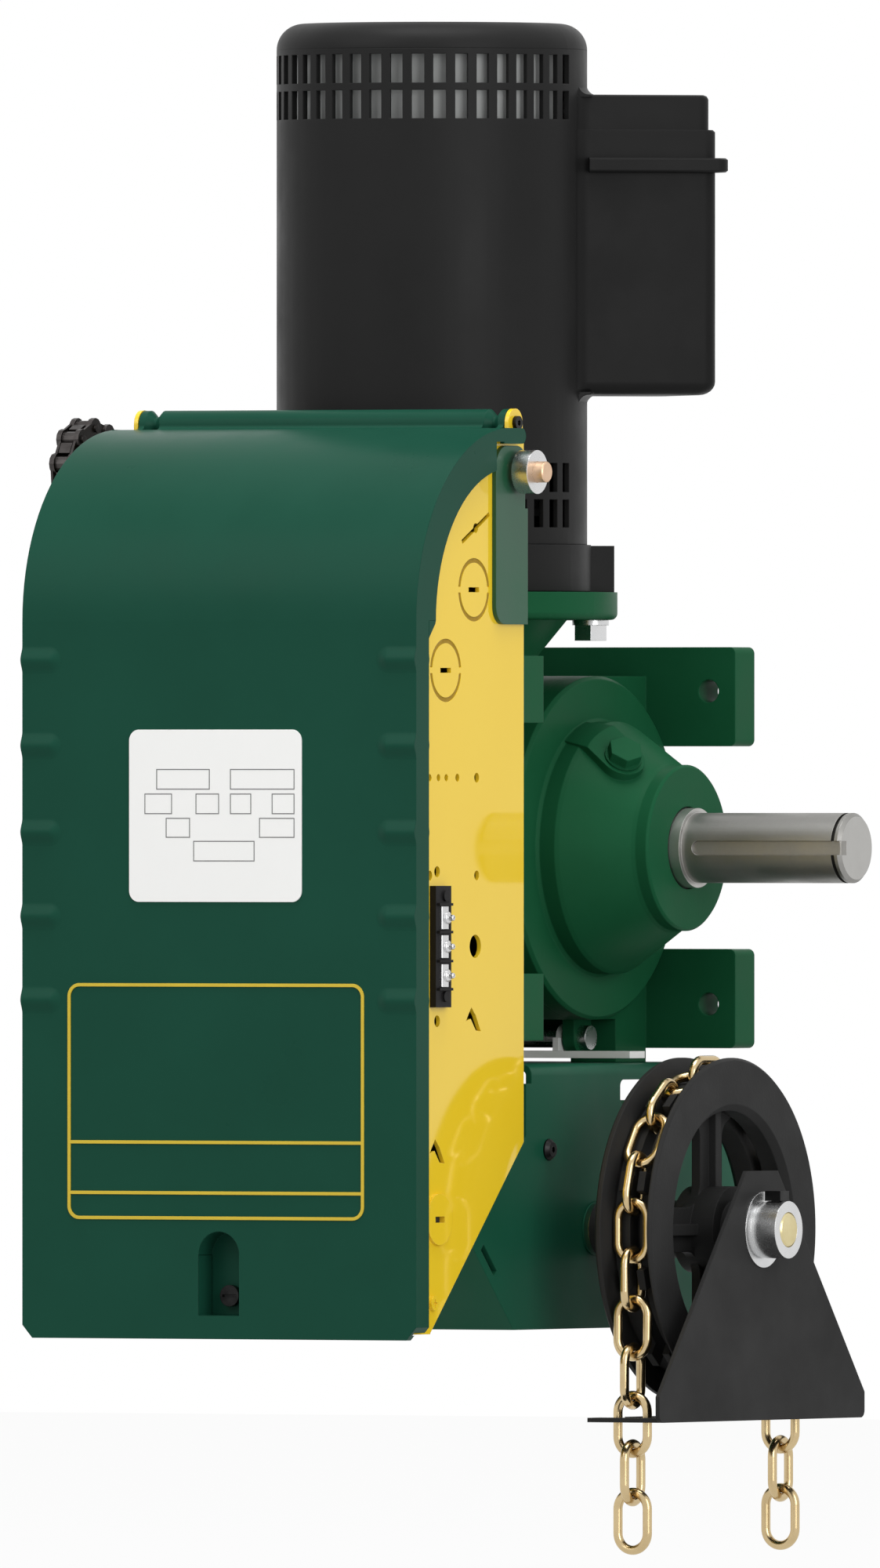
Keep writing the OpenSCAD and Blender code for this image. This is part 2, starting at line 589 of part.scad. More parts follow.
module nameplate() color([0.93, 0.93, 0.92]) at_wall() difference() {
  xz(cov_y - 0.6, cov_y) rr(-46, -24, 43, 53.3, 5);
  for (f = [[-31.9, 26.4, -4.3, 35.6], [6.2, 26.4, 39.4, 35.6], [-38, 15.4, -23.8, 24.6],
    [-11.6, 15.4, 0.5, 24.6], [6.2, 15.4, 17.1, 24.6], [27.7, 15.4, 39.4, 24.6], [-27, 4.8, -14.5, 13.7],
    [21.2, 4.8, 39.4, 13.7], [-12.8, -5.8, 18.8, 3.4]]) difference() {
    box(f[0], f[2], cov_y - 1, cov_y - 0.5, f[1], f[3]);
    box(f[0] + 0.4, f[2] - 0.4, cov_y - 2, cov_y, f[1] + 0.4, f[3] - 0.4);
  }
}
module label_frame() color([0.88, 0.77, 0.2]) at_wall() {
  difference() {
    xz(cov_y - 0.5, cov_y) rr(-78, -166.5, 75, -60.5, 6);
    xz(cov_y - 1, cov_y + 1) rr(-76.5, -165, 73.5, -62, 4.5);
  }
  for (z = [-131.8, -154.5]) box(-77, 74, cov_y - 0.5, cov_y, z - 0.75, z + 0.75);
}
module cover_screw() color([0.13, 0.13, 0.13]) at_wall() difference() {
  union() {
    yc(4.8, -185.2, -182.2, 0, -200.6);
    yc(2.5, -183, -172, 0, -200.6);
  }
  box(-3.6, 3.6, -186, -184, -201.1, -200.1);
}
module hinge_screws() color([0.12, 0.12, 0.12]) at_wall() both_x() {
  xc(hinge_r, bx - sheet - 11, bx + 1, hinge_y, hinge_z);
  difference() {
    xc(3.15, bx, bx + 1.9, hinge_y, hinge_z);
    xc(1.4, bx + 0.9, bx + 3, hinge_y, hinge_z, $fn = 6);
  }
}

// Hand chain hoist
module hoist_frame() color([0.12, 0.33, 0.23]) at_wall() difference() {
  union() {
    intersection() {
      xz(-120, wall_y) difference() {
        rr(-frame_x, -260, frame_x, -97.3, 5);
        rr(-frame_x + frame_t, -270, frame_x - frame_t, -97.3 - frame_t, 2);
      }
      yz(-frame_x - 1, frame_x + 1) polygon([[wall_y, -90], [-64, -90], [-64, -129.6], [-113.4, -179],
        [-75.6, -216.7], [wall_y, -216.7]]);
    }
    yz(-frame_x + 1, frame_x - 1) polygon([[-113.4, -179], [-75.6, -216.7], [-73.5, -214.6],
      [-111.3, -176.9]]);
    both_x() {
      box(62, frame_x - 1, -75, wall_y, -216.7, -216.7 + frame_t);
      box(62, frame_x - 1, wall_y - frame_t, wall_y, -216.7, -100);
    }
  }
  box(-24, 24, -40, 52, -110, -90);
  both_x() {
    yz(frame_x - 5, frame_x + 2) rr(23, -116, 54, -104.7, 3);
    translate([0, -98.3, -185.2]) rotate([-45, 0, 0]) box(frame_x - 5, frame_x + 2, -8.5, 8.5, -1.8, 1.8);
    xc(bush_r, frame_x - 5, frame_x + 2, 0, hoist_z);
    xc(2.5, frame_x - 5, frame_x + 2, -43.5, -135.8);
    box(frame_x - 9, frame_x + 1, -68, -59, -106, -90);
  }
}
module bearing_bridge() color([0.13, 0.34, 0.22]) at_wall() difference() {
  union() {
    box(-frame_x + frame_t, frame_x - frame_t, -24, 24, -129, -114);
    both_x() yz(frame_x - frame_t - 8, frame_x - frame_t) rr(-52, -142, 40, -114, 4);
    zc(28, -129, -113);
  }
  zc(17, -130, -112);
  both_x() xc(2.5, 60, 90, -43.5, -135.8);
}
module frame_screws() color([0.14, 0.14, 0.14]) at_wall() both_x() difference() {
  union() {
    xc(2.5, frame_x - frame_t - 7, frame_x + 1, -43.5, -135.8);
    xturn(-43.5, -135.8) polygon([[0, frame_x], [4.85, frame_x], [4.85, frame_x + 0.8],
      [3.4, frame_x + 2.6], [0, frame_x + 2.6]]);
  }
  xc(1.5, frame_x + 1.2, frame_x + 4, -43.5, -135.8, $fn = 6);
}
module hoist_bushes() color([0.7, 0.56, 0.33]) at_wall() {
  both_x() difference() {
    union() {
      xc(bush_r, frame_x - frame_t - 3, frame_x + 0.5, 0, hoist_z);
      xc(16, frame_x - frame_t - 2.6, frame_x - frame_t, 0, hoist_z);
    }
    xc(hoist_r + run_c, 70, 100, 0, hoist_z);
  }
  difference() {
    zc(17, -129, -113);
    zc(12 + run_c, -130, -112);
  }
}
module bevel_teeth(r0, r1) linear_extrude(height = bev_h, scale = (bev_r - bev_h) / bev_r)
  polygon(teeth(bev_n, r0, r1, 0.27, 0.11));
module bevel_pinion() color([0.55, 0.55, 0.56]) at_wall() difference() {
  union() {
    translate([bev_r, 0, hoist_z]) rotate([0, -90, 0]) bevel_teeth(bev_r - 3.4, bev_r + 2.2);
    xc(25, bev_r, bev_r + 5, 0, hoist_z);
    xc(16, bev_r + 4, bev_r + 18, 0, hoist_z);
  }
  xc(hoist_r, 0, 90, 0, hoist_z);
}
module bevel_gear() color([0.55, 0.55, 0.56]) at_wall() {
  translate([0, 0, hoist_z + bev_r]) rotate([180, 0, 180 / bev_n]) bevel_teeth(bev_r - 3.4, bev_r + 2.2);
  zc(25, hoist_z + bev_r, -130);
  zc(12, -131, -112);
  rotate_extrude() polygon([[0, -112.5], [15.5, -112.5], [15.5, -109.05], [14, -109.05], [10, -101.05],
    [0, -101.05]]);
}
module hoist_shaft() color([0.82, 0.76, 0.58]) at_wall() xturn(0, hoist_z) polygon([[0, -92],
  [hoist_r - 1, -92], [hoist_r, -91], [hoist_r, hoist_end - 1], [hoist_r - 1, hoist_end], [0, hoist_end]]);
module chain_wheel() color([0.18, 0.18, 0.18]) at_wall() difference() {
  union() {
    xturn(0, hoist_z) translate([0, wheel_x]) polygon([[rim_r, -12.2], [rim_r + 3, -15.2],
      [flange_r - 1.2, -15.2], [flange_r, -14], [flange_r, -12],
      [wc, -10.3], [wc - wire / 2 - 0.2, -10.3], [wc - wire / 2 - 0.2, -2.6], [wc - link_half - 0.4, -2.6],
      [wc - link_half - 0.4, 2.6], [wc - wire / 2 - 0.2, 2.6], [wc - wire / 2 - 0.2, 10.3], [wc, 10.3],
      [flange_r, 12], [flange_r, 12.8], [flange_r - 1.2, 14], [rim_r + 3, 14], [rim_r, 11]]);
    translate([wheel_x, 0, hoist_z]) {
      yz(-2.2, 2.2) difference() {
        offset(r = -8, $fn = 24) offset(delta = 8) {
          circle(19.5);
          difference() { circle(rim_r + 3); circle(rim_r); }
          square([20, 2 * rim_r + 2], center = true);
          square([2 * rim_r + 2, 20], center = true);
        }
        circle(12);
      }
      for (a = [0:90:270]) rotate([a, 0, 0]) box(-6, 6, -2.5, 2.5, 15, rim_r + 1);
      for (a = [18:36:342], s = [-1, 1]) rotate([a, 0, 0])
        box(s > 0 ? 2.7 : -6.3, s > 0 ? 6.3 : -2.7, wc - 4, wc + 3.5, -4.6, 4.6);
      xc(19.5, -7.3, 14, 0, 0);
      xc(13, 88.6 - wheel_x, guide_x - wheel_x - 2.6, 0, 0);
    }
  }
  xc(hoist_r, 80, 190, 0, hoist_z);
  translate([wheel_x, 0, hoist_z]) for (a = [45:90:315]) rotate([a, 0, 0]) box(-2.6, 2.6, -23, 23, 44, wc - 2);
}
module guide_bush() color([0.72, 0.73, 0.74]) at_wall() difference() {
  union() {
    xc(17.1, guide_x - 2, guide_x + 2.9, 0, hoist_z);
    xc(12.5, guide_x + 2.8, guide_x + 4.6, 0, hoist_z);
  }
  xc(hoist_r + run_c, 160, 180, 0, hoist_z);
}
module hoist_collar() color([0.72, 0.73, 0.74]) at_wall() difference() {
  xc(12.9, guide_x + 5, hoist_end - 0.5, 0, hoist_z);
  xc(hoist_r, 160, 190, 0, hoist_z);
  zc(2.5, hoist_z, hoist_z + 14, guide_x + 9.4, 0);
}
module collar_screw() color([0.1, 0.1, 0.1]) at_wall() {
  translate([guide_x + 9.4, 0, hoist_z + 13]) translate([-4, -4, 0]) cube([8, 8, 4.5]);
  difference() { zc(2.5, hoist_z + 7, hoist_z + 14, guide_x + 9.4, 0); xc(hoist_r, 160, 190, 0, hoist_z); }
}
module guide_bracket() color([0.22, 0.22, 0.22]) at_wall() difference() {
  union() {
    yz(guide_x, guide_x + 2) union() {
      polygon([[-14.4, -145.3], [14.4, -145.3], [95.5, -246], [95.5, -254.1], [92, -257.6],
        [-92, -257.6], [-95.5, -254.1], [-95.5, -246]]);
      for (s = [-1, 1]) translate([s * 92, -254.1]) circle(3.5);
    }
    box(132, guide_x + 1, -92, 92, -257.6, -255.6);
  }
  xc(17.1, guide_x - 1, guide_x + 3, 0, hoist_z);
  for (s = [-1, 1]) xy(-259, -254) rrc(wheel_x, s * wc, 12, 11.5, 3);
}
module rrc(x, y, w, h, r) rr(x - w, y - h, x + w, y + h, r);

// Disconnect clutch
module clutch_sleeve() color([0.6, 0.6, 0.61]) at_wall() difference() {
  rotate_extrude() polygon([[shaft_r + run_c, -106], [20, -106], [20, -96.1], [14, -96.1], [14, -91.1],
    [20, -91.1], [20, -88], [shaft_r + run_c, -88]]);
  rotate_extrude() polygon([[0, -106.06], [14, -106.06], [10, -98.05], [0, -98.05]]);
}
module disconnect_lever() color([0.74, 0.74, 0.75]) at_wall() difference() {
  union() {
    difference() {
      box(-20, 20, -6, 50, -95.2, -92);
      box(-14.6, 14.6, -7, 0, -96, -91);
      zc(14.6, -96, -91);
    }
    box(-32, 32, 44, 66, -95.2, -92);
    box(31, 78, 44, 58, -95.2, -92);
    both_x() {
      box(29, 32, 60, 72, -95.2, lever_z);
      xc(6, 29, 32, lever_y - 1, lever_z);
    }
  }
  both_x() xc(pin_r + run_c, 28, 33, lever_y, lever_z);
  zc(3, -96, -91, 72, 51);
}
module lever_bolt() color([0.72, 0.73, 0.74]) at_wall() {
  xc(pin_r, -45, 41, lever_y, lever_z);
  xc(5.6, 39, 43.4, lever_y, lever_z);
  xc(5.8, -43.6, -39, lever_y, lever_z, $fn = 6);
}

// Hand chain
module link_2() {
  sx = (link_in + 0.12) / 2 - bow + wire / 2;
  for (s = [-1, 1]) {
    translate([s * sx, 0, 0]) rotate([0, 0, s > 0 ? -90 : 90]) rotate_extrude(angle = 180)
      translate([bow, 0]) circle(wire / 2, $fn = 20);
    translate([-sx, s * bow, 0]) rotate([0, 90, 0]) cylinder(r = wire / 2, h = 2 * sx, $fn = 20);
  }
}
module link_at(k) if (k % 2 == 0) rotate([90, 0, 90]) rotate([90, 0, 90]) link_2();
  else rotate([0, -90, 0]) link_2();
module hand_chain() color([0.79, 0.67, 0.46]) at_wall() translate([wheel_x, 0, hoist_z]) {
  for (k = [0:10]) rotate([18 * k, 0, 0]) translate([0, wc, 0]) link_at(k);
  for (m = [1:fall_n], s = [-1, 1]) translate([0, s * wc, -m * link_in]) link_at(m);
}

gearbox_housing();
gearbox_cover_right();
gearbox_cover_left();
oil_plugs();
shaft_seals();
bearings();
output_shaft();
output_key();
worm_wheel();
shaft_rings();
drive_sprocket();
worm_shaft();
worm();
motor_end_bell();
motor_shell();
motor_cap();
motor_stator();
air_baffle();
motor_rotor();
motor_fan();
capacitor_box();
capacitor_lid();
flange_bolts();
chassis();
box_screws();
panel_fittings();
terminal_block();
terminal_screws();
circuit_board();
transformer();
contactors();
limit_brackets();
limit_guide();
limit_nuts();
limit_switches();
limit_shaft();
limit_sprocket();
limit_collar();
limit_chain();
cover();
nameplate();
label_frame();
cover_screw();
hinge_screws();
hoist_frame();
bearing_bridge();
frame_screws();
hoist_bushes();
bevel_pinion();
bevel_gear();
hoist_shaft();
chain_wheel();
hoist_collar();
collar_screw();
guide_bracket();
guide_bush();
clutch_sleeve();
disconnect_lever();
lever_bolt();
hand_chain();
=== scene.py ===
"""Looks for a wall-mounted gearhead door operator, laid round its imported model.
The frame is the model's own, in metres: X along the output shaft, Y into the wall, Z up. Shapes that are
made here are worked out in millimetres and divided by 1000 as they become points."""
import math
import bmesh
import bpy
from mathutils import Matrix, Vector


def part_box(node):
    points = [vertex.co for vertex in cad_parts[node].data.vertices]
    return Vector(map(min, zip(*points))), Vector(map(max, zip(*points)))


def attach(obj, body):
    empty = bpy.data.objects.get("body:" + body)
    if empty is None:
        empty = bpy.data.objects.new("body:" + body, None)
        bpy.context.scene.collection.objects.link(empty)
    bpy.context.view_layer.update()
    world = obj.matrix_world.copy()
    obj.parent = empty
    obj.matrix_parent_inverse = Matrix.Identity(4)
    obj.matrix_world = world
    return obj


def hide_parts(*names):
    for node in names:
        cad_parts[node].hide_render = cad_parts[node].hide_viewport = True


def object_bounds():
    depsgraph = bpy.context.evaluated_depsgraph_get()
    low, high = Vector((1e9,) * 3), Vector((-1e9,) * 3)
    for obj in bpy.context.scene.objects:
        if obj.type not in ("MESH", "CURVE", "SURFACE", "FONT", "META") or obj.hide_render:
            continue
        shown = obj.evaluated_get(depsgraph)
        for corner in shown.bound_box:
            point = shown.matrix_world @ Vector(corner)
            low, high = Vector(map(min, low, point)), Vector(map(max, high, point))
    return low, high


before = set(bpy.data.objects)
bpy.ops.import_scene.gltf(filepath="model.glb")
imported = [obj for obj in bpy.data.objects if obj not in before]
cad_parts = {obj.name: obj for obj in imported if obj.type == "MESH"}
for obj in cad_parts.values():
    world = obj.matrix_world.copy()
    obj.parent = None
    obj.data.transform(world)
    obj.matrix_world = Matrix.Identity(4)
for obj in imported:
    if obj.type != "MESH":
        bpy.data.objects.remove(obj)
cad_box = [list(corner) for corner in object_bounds()]

# ---- Gearbox castings: housing, side covers, plugs, and the bearing bridge under them.
# Grey iron, sand cast, machined at the joints, then the whole gearbox is sprayed with one thick coat of
# green gloss enamel. Bolted to the wall by its four feet, and everything else is bolted to it.


def linear(code):
    """An sRGB hex colour as the linear colour that Blender takes."""
    parts = [int(code[i:i + 2], 16) / 255 for i in (1, 3, 5)]
    return [p / 12.92 if p <= 0.04045 else ((p + 0.055) / 1.055) ** 2.4 for p in parts] + [1.0]


def feed(owner, node, links):
    """Joins named sockets of a node to the outputs that feed them."""
    for socket, source in links.items():
        owner.node_tree.links.new(source, node.inputs[socket])


def add(owner, kind, values=None, links=None, **settings):
    """One shader node: its settings, its socket values, and the sockets that feed it."""
    node = owner.node_tree.nodes.new("ShaderNode" + kind)
    for name, value in settings.items():
        setattr(node, name, value)
    for name, value in (values or {}).items():
        node.inputs[name].default_value = value
    feed(owner, node, links or {})
    return node


def new_finish(name, **shader_values):
    """An empty finish with its shader's plain numbers set, and the place on the object in metres."""
    finish = bpy.data.materials.new(name)
    finish.use_nodes = True
    shader = finish.node_tree.nodes["Principled BSDF"]
    for socket, value in shader_values.items():
        shader.inputs[socket.replace("_", " ")].default_value = value
    place = add(finish, "TexCoord").outputs["Object"]
    return finish, shader, place


def dress(finish, *names):
    """Gives CAD pieces their finish."""
    for name in names:
        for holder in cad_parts[name].material_slots:
            holder.material = finish


def enamel(name, colour, thin, rough, shine, skin_mm, depth_mm, cloud_mm, round_mm):
    """Sprayed enamel: deep and even, paler over sharp edges, with the slight ripple of the spray."""
    finish, shader, place = new_finish(name, Metallic=0.0, IOR=1.5, Specular_IOR_Level=shine)
    cloud = add(finish, "TexNoise", {"Scale": 1000 / cloud_mm, "Detail": 5.0, "Roughness": 0.6},
                {"Vector": place})
    ripple = add(finish, "TexNoise", {"Scale": 1000 / skin_mm, "Detail": 2.0, "Roughness": 0.45},
                 {"Vector": place})
    # Over an edge the rounded surface turns from the flat one: 6 degrees thins the paint, 31 the most.
    softened = add(finish, "Bevel", {"Radius": round_mm / 1000}, samples=4)
    facing = add(finish, "NewGeometry")
    turned_by = add(finish, "VectorMath", None,
                    {0: softened.outputs["Normal"], 1: facing.outputs["Normal"]},
                    operation="DOT_PRODUCT")
    edge = add(finish, "MapRange", {"From Min": 0.995, "From Max": 0.86, "To Min": 0.0, "To Max": 0.75},
               {"Value": turned_by.outputs["Value"]})
    body = add(finish, "MixRGB", {"Color1": linear(colour), "Color2": linear(thin)},
               {"Fac": cloud.outputs["Fac"]})
    worn = add(finish, "MixRGB", {"Color2": linear(thin)},
               {"Fac": edge.outputs["Result"], "Color1": body.outputs["Color"]})
    gloss = add(finish, "MapRange",
                {"From Min": 0.3, "From Max": 0.7, "To Min": rough * 0.8, "To Max": rough * 1.3},
                {"Value": cloud.outputs["Fac"]})
    relief = add(finish, "Bump", {"Strength": 0.6, "Distance": depth_mm / 1000},
                 {"Height": ripple.outputs["Fac"], "Normal": softened.outputs["Normal"]})
    feed(finish, shader, {"Base Color": worn.outputs["Color"], "Roughness": gloss.outputs["Result"],
                          "Normal": relief.outputs["Normal"]})
    return finish


# Sand-cast skin under the paint: 2.2 mm ripples, about twice the real grain so that they show.
cast_green = enamel("green_gloss_enamel_on_cast_iron", "#154D2F", "#1C5A3B", rough=0.42, shine=0.05,
                    skin_mm=2.2, depth_mm=0.06, cloud_mm=45, round_mm=0.9)
dress(cast_green, "gearbox_housing", "gearbox_cover_right", "gearbox_cover_left", "oil_plugs",
      "bearing_bridge")

# ---- Gearbox insides: lip seals and ball bearings.
# The seals are moulded nitrile rubber on a steel ring, pressed into the bores. The bearings are bought
# in, their rings ground bright, and sit in the covers and the housing.
seal_rubber, shader, place = new_finish("black_nitrile_rubber", IOR=1.52, Specular_IOR_Level=0.4)
# Rubber blooms in grey patches some 6 mm wide. Its pores are drawn at 0.8 mm, coarser than they are, so
# that they show.
bloom = add(seal_rubber, "TexNoise", {"Scale": 1000 / 6, "Detail": 6.0}, {"Vector": place})
shade = add(seal_rubber, "MixRGB", {"Color1": linear("#161616"), "Color2": linear("#2B2A29")},
            {"Fac": bloom.outputs["Fac"]})
pores = add(seal_rubber, "TexNoise", {"Scale": 1000 / 0.8, "Detail": 3.0}, {"Vector": place})
relief = add(seal_rubber, "Bump", {"Strength": 0.5, "Distance": 0.00004},
             {"Height": pores.outputs["Fac"]})
matt = add(seal_rubber, "MapRange", {"To Min": 0.5, "To Max": 0.72}, {"Value": bloom.outputs["Fac"]})
feed(seal_rubber, shader, {"Base Color": shade.outputs["Color"], "Roughness": matt.outputs["Result"],
                           "Normal": relief.outputs["Normal"]})
dress(seal_rubber, "shaft_seals")


def bare_metal(name, colour, dull, rough, grain_mm, stretch, depth_mm, round_mm=0.4, cloud_mm=14):
    """Bare or plated metal: marks drawn out along one way, and soft clouds of handling and tarnish.
    Real marks are about ten times finer than grain_mm: these are as coarse as they need to be to show."""
    finish, shader, place = new_finish(name, Metallic=1.0)
    along = add(finish, "Mapping", {"Scale": stretch}, {"Vector": place})
    grain = add(finish, "TexNoise", {"Scale": 1000 / grain_mm, "Detail": 4.0, "Roughness": 0.6},
                {"Vector": along.outputs["Vector"]})
    cloud = add(finish, "TexNoise", {"Scale": 1000 / cloud_mm, "Detail": 5.0, "Roughness": 0.6},
                {"Vector": place})
    patch = add(finish, "MapRange", {"From Min": 0.35, "From Max": 0.75},
                {"Value": cloud.outputs["Fac"]})
    tone = add(finish, "MixRGB", {"Color1": linear(colour), "Color2": linear(dull)},
               {"Fac": patch.outputs["Result"]})
    sheen = add(finish, "Math", {1: 0.5}, {0: grain.outputs["Fac"]}, operation="MULTIPLY")
    both = add(finish, "Math", None, {0: sheen.outputs["Value"], 1: cloud.outputs["Fac"]},
               operation="ADD")
    gloss = add(finish, "MapRange",
                {"From Min": 0.45, "From Max": 1.05, "To Min": rough * 0.85, "To Max": rough * 1.25},
                {"Value": both.outputs["Value"]})
    softened = add(finish, "Bevel", {"Radius": round_mm / 1000}, samples=4)
    relief = add(finish, "Bump", {"Strength": 0.5, "Distance": depth_mm / 1000},
                 {"Height": grain.outputs["Fac"], "Normal": softened.outputs["Normal"]})
    feed(finish, shader, {"Base Color": tone.outputs["Color"], "Roughness": gloss.outputs["Result"],
                          "Normal": relief.outputs["Normal"]})
    return finish


# Ring-ground steel: its marks are too fine and even to draw out any way.
bearing_steel = bare_metal("ground_bearing_steel", "#C9C9C7", "#AFAFAE", rough=0.22, grain_mm=0.5,
                           stretch=(1, 1, 1), depth_mm=0.01)
dress(bearing_steel, "bearings")

# ---- Output shaft with its key, rings and drive sprocket.
# The shaft is drawn steel, turned and ground, with a square key pressed into its keyway and a groove for
# a spring ring. The sprocket is cut from plate, hobbed and oiled black, and is keyed on the left end.
# Turning marks run round the shaft: they are thin along X and long across it.
ground_shaft = bare_metal("ground_and_drawn_steel_shaft", "#979693", "#8D8C89", rough=0.44,
                          grain_mm=1.2, stretch=(4, 0.15, 0.15), depth_mm=0.002)
# Faces turned to +X, the shaft's right end, are painted brighter than the ground side: a painted highlight
# of the light from the right.
facing = add(ground_shaft, "SeparateXYZ", None,
             {0: add(ground_shaft, "NewGeometry").outputs["True Normal"]})
right_end_highlight = add(ground_shaft, "MapRange", {"From Min": 0.85, "From Max": 0.95},
            {"Value": facing.outputs["X"]})
# The spring ring's groove is painted dark: a 1.6 mm band of painted shade round the shaft, 4 mm from its
# end.
groove_x, groove_half = 0.1879, 0.0008
along = add(ground_shaft, "SeparateXYZ", None, {0: add(ground_shaft, "TexCoord").outputs["Object"]})
groove_shade = add(ground_shaft, "Math", {1: groove_x, 2: groove_half}, {0: along.outputs["X"]},
             operation="COMPARE")
shader = ground_shaft.node_tree.nodes["Principled BSDF"]
# Each mask lays its tint over the colour below: the painted highlight on the right end, and the painted
# shade in the groove.
for mask, tint in ((right_end_highlight.outputs["Result"], "#B6B5B2"), (groove_shade.outputs["Value"], "#2E2D2B")):
    under = shader.inputs["Base Color"].links[0].from_socket
    tone = add(ground_shaft, "MixRGB", {"Color2": linear(tint)}, {"Fac": mask, "Color1": under})
    feed(ground_shaft, shader, {"Base Color": tone.outputs["Color"]})
dress(ground_shaft, "output_shaft")
# Hub rings are turned steel, left bright.
ring_steel = bare_metal("turned_hub_rings", "#BDBCB9", "#AEADAA", rough=0.4, grain_mm=1.0,
                        stretch=(4, 0.15, 0.15), depth_mm=0.002, round_mm=0.3)
dress(ring_steel, "shaft_rings")
# Key bar is left as drawn: duller than the shaft, with its drawing marks along X.
drawn_key = bare_metal("cold_drawn_key_steel", "#9E9C98", "#92908B", rough=0.55, grain_mm=1.0,
                       stretch=(0.1, 3, 3), depth_mm=0.004, round_mm=0.3)
dress(drawn_key, "output_key")
# Hobbed teeth and chain plates keep their oil: near black and brown, with an uneven shine.
oiled_steel = bare_metal("dark_oiled_hobbed_steel", "#4A4746", "#353231", rough=0.38, grain_mm=0.7,
                         stretch=(1, 1, 1), depth_mm=0.02, round_mm=0.25, cloud_mm=8)
dress(oiled_steel, "drive_sprocket", "limit_sprocket", "limit_chain")

# ---- Worm wheel, and the worm on its shaft, inside the gearbox.
# The wheel is centrifugally cast bronze, its teeth hobbed. The worm is ground on its shaft from case
# hardened steel and runs in oil.
# Cast bronze is warm and brown, and brighter where the hob has cut it.
wheel_bronze = bare_metal("hobbed_tin_bronze", "#B8874A", "#9A6C3A", rough=0.34, grain_mm=0.8,
                          stretch=(1, 1, 1), depth_mm=0.02)
dress(wheel_bronze, "worm_wheel")
# Grinding marks run round the worm shaft, so they are thin along Z.
hardened_steel = bare_metal("case_hardened_ground_steel", "#A9A9AA", "#8C8C8E", rough=0.28,
                            grain_mm=0.9, stretch=(0.2, 0.2, 4), depth_mm=0.003)
dress(hardened_steel, "worm_shaft", "worm", "bevel_pinion", "bevel_gear", "clutch_sleeve",
      "limit_guide")

# ---- Motor: end bell, rolled shell, pressed cap, and the capacitor case on its side.
# The end bell is cast iron and the rest is pressed steel sheet, all dipped and sprayed semi-gloss black.
# Bolts through the end bell's flange hold it on the gearbox.
# Semi-gloss black hides the grain of the sheet: one even, soft sheen down the shell.
motor_black = enamel("semi_gloss_black_enamel", "#1D1D1D", "#252525", rough=0.42, shine=0.08,
                     skin_mm=1.6, depth_mm=0.03, cloud_mm=60, round_mm=0.8)
dress(motor_black, "motor_end_bell", "motor_shell", "motor_cap", "capacitor_box", "capacitor_lid")
# The drawn case takes a darker copy of the same enamel: painted shade that sets the case a shade darker
# than the shell.
shaded_case_black = enamel("semi_gloss_black_painted_shade_on_case", "#171717", "#1D1D1D", rough=0.42, shine=0.08,
                    skin_mm=1.6, depth_mm=0.03, cloud_mm=60, round_mm=0.8)
motor_y = -0.130
shell_radius = 70.3
case_half = 40.0
side_fillet, end_fillet = 9.0, 5.0


def skin(shape, rows):
    """Joins rows of points, each row a closed ring, into a solid with both ends shut."""
    for lower, upper in zip(rows, rows[1:]):
        for i in range(len(lower)):
            j = (i + 1) % len(lower)
            shape.faces.new((lower[i], lower[j], upper[j], upper[i]))
    shape.faces.new(list(reversed(rows[0])))
    shape.faces.new(rows[-1])


def make_piece(shape, name, finish, crease=None):
    """A named piece with its finish. It is shaded smooth but for edges sharper than crease degrees."""
    bmesh.ops.recalc_face_normals(shape, faces=shape.faces)
    if crease:
        for face in shape.faces:
            face.smooth = True
        for edge in shape.edges:
            edge.smooth = edge.calc_face_angle(0.0) < math.radians(crease)
    mesh = bpy.data.meshes.new(name)
    shape.to_mesh(mesh)
    shape.free()
    mesh.materials.append(finish)
    piece = bpy.data.objects.new(name, mesh)
    bpy.context.scene.collection.objects.link(piece)
    return piece


def drawn_case(name, steps, flare, stands_for):
    """A case drawn in outlines up Z: each step is its height, reach, half width and corner in mm."""

    def on_diagonal(out, across, height):   # the case looks out at 45 degrees to X and Y
        x, y = (out - across) * math.sqrt(0.5), (out + across) * math.sqrt(0.5)
        return shape.verts.new((x / 1000, y / 1000 + motor_y, height / 1000))

    shape = bmesh.new()
    rings = []
    for height, reach, half, corner in steps:
        # A hollow fillet runs off the shell on to the case's side with no edge at either end.
        foot = min(half, case_half)
        across = foot + side_fillet
        out = math.sqrt((shell_radius + side_fillet) ** 2 - across ** 2)
        meets = math.atan2(across, out)
        side = [(out * 0.872, across * 0.872)]   # 1 mm inside the shell
        side += [(out - side_fillet * math.cos(a), across - side_fillet * math.sin(a))
                 for a in (meets + (math.pi / 2 - meets) * k / 6 for k in range(7))]
        side += [(out + 0.1 if half == foot else out - 0.8, half)]   # the lid's band starts here
        side += [(reach - corner + corner * math.sin(a), half - corner + corner * math.cos(a))
                 for a in (k * math.pi / 12 for k in range(7))]
        outline = side + [(u, -v) for u, v in reversed(side)]
        rings.append([on_diagonal(u, v, height) for u, v in outline])
    skin(shape, rings)
    # The case's lower or upper end runs off the round shell on a smaller fillet, sunk 1.2 mm in the case.
    end, way = (steps[0][0], -1) if flare == "below" else (steps[-1][0], 1)
    rows = []
    for k in range(13):
        across = -case_half + 2 * case_half * k / 12
        shell = math.sqrt(shell_radius ** 2 - across ** 2) - 0.3
        section = [(shell - 2.0, -1.2), (shell - 2.0, end_fillet)]
        section += [(shell + end_fillet - end_fillet * math.cos(a),
                     end_fillet - end_fillet * math.sin(a))
                    for a in (t * math.pi / 16 for t in range(8))]
        section += [(shell + end_fillet + 1.0, -0.05), (shell + end_fillet + 1.0, -1.2)]
        rows.append([on_diagonal(out, across, end + way * up) for out, up in section])
    skin(shape, rows)
    piece = make_piece(shape, name, shaded_case_black, crease=38)
    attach(piece, "frame_body")
    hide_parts(stands_for)


